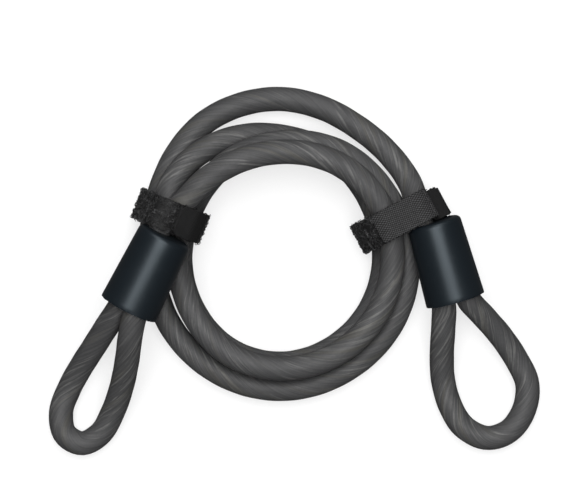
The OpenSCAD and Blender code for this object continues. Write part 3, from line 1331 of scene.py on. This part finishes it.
    def build_hooks(self, material: bpy.types.Material) -> bpy.types.Object:
        """Makes the film under the tail and the rows of hooks on it."""
        film_low, film_high = self.layers.tail_from - 0.25, self.layers.tail_from - 0.02
        start, end = 2.4, self.tail_len - 1.2
        count = round((end - start) / 1.0)
        places = [start + (end - start) * k / count for k in range(count + 1)]
        film = self.ribbon(
            f"{self.name}_hook_facing", places, lambda u: film_low, lambda u: film_high,
            lambda u, y: 0.0, lambda u: (-self.width / 2 + 0.9, self.width / 2 - 0.9), 8,
        )  # fmt: skip
        bend = np.array([(0, 0, 0), (0.01, 0, -0.16), (0.05, 0, -0.27), (0.14, 0, -0.30), (0.2, 0, -0.24)])
        shape, faces = rod(bend.astype(float), 0.05, 4)
        made = []
        for i in range(1, round((end - start) / self.hook_pitch)):
            for k in range(11):
                u, y = start + self.hook_pitch * i, -self.width / 2 + 1.3 + k * 0.99
                flip = 1 if (i + k) % 2 else -1
                verts = self.planted(shape * np.array([flip, 1, 1]), u, y, film_low + 0.03)
                made.append((verts, faces if flip > 0 else [f[::-1] for f in faces]))
        hooks = new_mesh(f"{self.name}_moulded_hooks", join(made))
        shade(hooks, 60)
        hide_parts(f"{self.name}_hook_patch")
        dress(hooks, material, Slot.HOOKS, self.body)
        return dress(film, material, Slot.HOOKS, self.body)

    def build_seam(self, material: bpy.types.Material) -> bpy.types.Object:
        """Makes the row of stitches across the tail's root."""
        arch = ((-0.95, -0.35), (-0.8, 0.0), (-0.4, 0.13), (0.4, 0.13), (0.8, 0.0), (0.95, -0.35))
        top = self.tail_low(-self.seam) + self.layers.tape
        made = []
        for k in range(self.stitches):
            y = (k - (self.stitches - 1) / 2) * self.stitch_pitch
            line = [
                self.place(-self.seam, y + d, top + lift)
                for d, lift in arch
            ]
            made.append(rod(curve_through([Vector(p) for p in line], 3), 0.17, 8))
        obj = new_mesh(f"{self.name}_seam_stitches", join(made))
        shade(obj, 60)
        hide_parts(f"{self.name}_strap_stitching")
        return dress(obj, material, Slot.THREAD)

    def build(
        self,
        tape: bpy.types.Material,
        face: bpy.types.Material,
        felt: bpy.types.Material,
        curls: bpy.types.Material,
        hooks: bpy.types.Material,
        thread: bpy.types.Material,
    ) -> None:
        """Makes the whole strap.

        Args:
            tape: finish of the band.
            face: finish of the tail.
            felt: finish of the ground of the pile.
            curls: finish of the loops.
            hooks: finish of the hook facing.
            thread: finish of the stitches.
        """
        band = self.build_band(tape)
        ground = self.build_pile(felt, curls)
        self.build_root(tape)
        tail = self.build_tail(face)
        self.build_hooks(hooks)
        self.build_seam(thread)


# ---- Studio ----


@dataclass(frozen=True)
class Softbox:
    """A square area light."""

    name: str
    place: Colour
    aim: Colour
    size: float
    power: float

    def build(self) -> None:
        """Adds the light."""
        data = bpy.data.lights.new(self.name, "AREA")
        data.shape, data.size, data.energy = "SQUARE", self.size, self.power
        lamp = bpy.data.objects.new(self.name, data)
        bpy.context.scene.collection.objects.link(lamp)
        lamp.location = self.place
        way = Vector(self.aim) - Vector(self.place)
        lamp.rotation_euler = way.to_track_quat("-Z", "Y").to_euler()


@dataclass(frozen=True)
class Studio:
    """Pale floor, soft light and a camera that looks straight down."""

    centre: tuple[float, float] = (-0.0011, 0.0096)
    focus: float = 0.012
    distance: float = 1.0
    field: float = 0.2375
    sensor: float = 36.0
    floor_shade: Colour = (0.30, 0.30, 0.30)
    floor_glow: float = 0.66
    ambient: float = 0.10
    boxes: tuple[Softbox, ...] = (
        Softbox("overhead", (0.0, 0.15, 1.40), (0.0, 0.0, 0.0), 1.0, 24.0),
        Softbox("head", (0.0, 1.15, 0.95), (0.0, 0.0, 0.0), 0.7, 9.0),
        Softbox("foot", (0.1, -1.2, 1.0), (0.0, 0.0, 0.0), 0.5, 3.0),
    )

    def camera(self) -> None:
        """Adds the camera."""
        data = bpy.data.cameras.new("camera")
        data.sensor_width, data.lens = self.sensor, self.sensor * self.distance / self.field
        data.clip_start, data.clip_end = 0.05, 20.0
        camera = bpy.data.objects.new("camera", data)
        camera.location = (*self.centre, self.focus + self.distance)
        bpy.context.scene.collection.objects.link(camera)
        bpy.context.scene.camera = camera

    def floor(self) -> None:
        """Adds the floor."""
        deselect()
        bpy.ops.mesh.primitive_plane_add(size=8.0, location=(0, 0, 0))
        floor = bpy.context.active_object
        floor.name = "floor"
        g = Graph("floor_paper")
        paper = g.finish(
            Base_Color=self.floor_shade,
            Roughness=0.95,
            Emission_Color=(1.0, 1.0, 1.0),
            Emission_Strength=self.floor_glow,
        )
        floor.data.materials.append(paper)
        floor.visible_diffuse = floor.visible_glossy = False  # no light thrown back up at the object

    def build(self) -> None:
        """Adds the lights, the floor and the world's own light."""
        self.floor()
        for box in self.boxes:
            box.build()
        world = bpy.data.worlds.new("studio")
        bpy.context.scene.world = world
        world.use_nodes = True
        back = world.node_tree.nodes["Background"]
        back.inputs["Color"].default_value = (1.0, 1.0, 1.0, 1.0)
        back.inputs["Strength"].default_value = self.ambient
        bpy.context.scene.view_settings.view_transform = "Standard"


def straps() -> list[Strap]:
    """The two straps."""
    left = Strap(
        name="left", body=Body.LEFT_TAIL, middle=(-44.45, 16.6), across=158.0,
        sections=((2.4, 33.4), (-2.5, 28.2), (-6.8, 8.2), (9.2, 7.0)),
        hinge=(-13.08, 20.85), way=-1, tail_len=19.6, root_len=7.0, seam=2.2, seed=11,
        corner=(2.8, 2.8),
    )  # fmt: skip
    right = Strap(
        name="right", body=Body.RIGHT_TAIL, middle=(51.2, 18.1), across=28.0,
        sections=((8.2, 16.8), (2.9, 23.8), (-9.9, 23.8), (-12.8, 21.6), (-15.9, 7.0), (-11.0, 7.0)),
        hinge=(4.75, 32.4), way=1, tail_len=17.0, root_len=4.2, seam=2.9, seed=23,
        corner=(0.9, 0.9), bare=17.0, skew=1.8, relief=0.10,
    )  # fmt: skip
    return [left, right]


def main() -> None:
    """Builds the object and the studio round it."""
    logging.basicConfig(level=logging.INFO, format="%(message)s")
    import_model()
    studio = Studio()
    studio.camera()
    Cable().build(JacketPvc().material(), RopeSteel().material())
    aluminium, plastic = CrimpAluminium().material(), CoverPlastic().material()
    for crimp in (LEFT_CRIMP, RIGHT_CRIMP):
        crimp.build_ferrule(aluminium)
        crimp.build_cover(plastic)
    plain = TapeNylon().material()
    dotted = TapeNylon(
        "tape_dotted", (0.019, 0.019, 0.0195), (0.005, 0.005, 0.005), (0.060, 0.060, 0.061), 1.05, 0.00016
    ).material()
    # The felt and the loops are one finish in a shaded and a lighter copy: the felt's near-black is painted
    # shade.
    curls = LoopPile("pile_loops", (0.024, 0.024, 0.0245), (0.006, 0.006, 0.006), (0.085, 0.085, 0.087))
    others = [finish.material() for finish in (LoopPile(), curls, HookFacing(), Thread())]
    for strap, face in zip(straps(), (plain, dotted)):
        strap.build(plain, face, *others)
    studio.build()


if __name__ == "__main__":
    main()
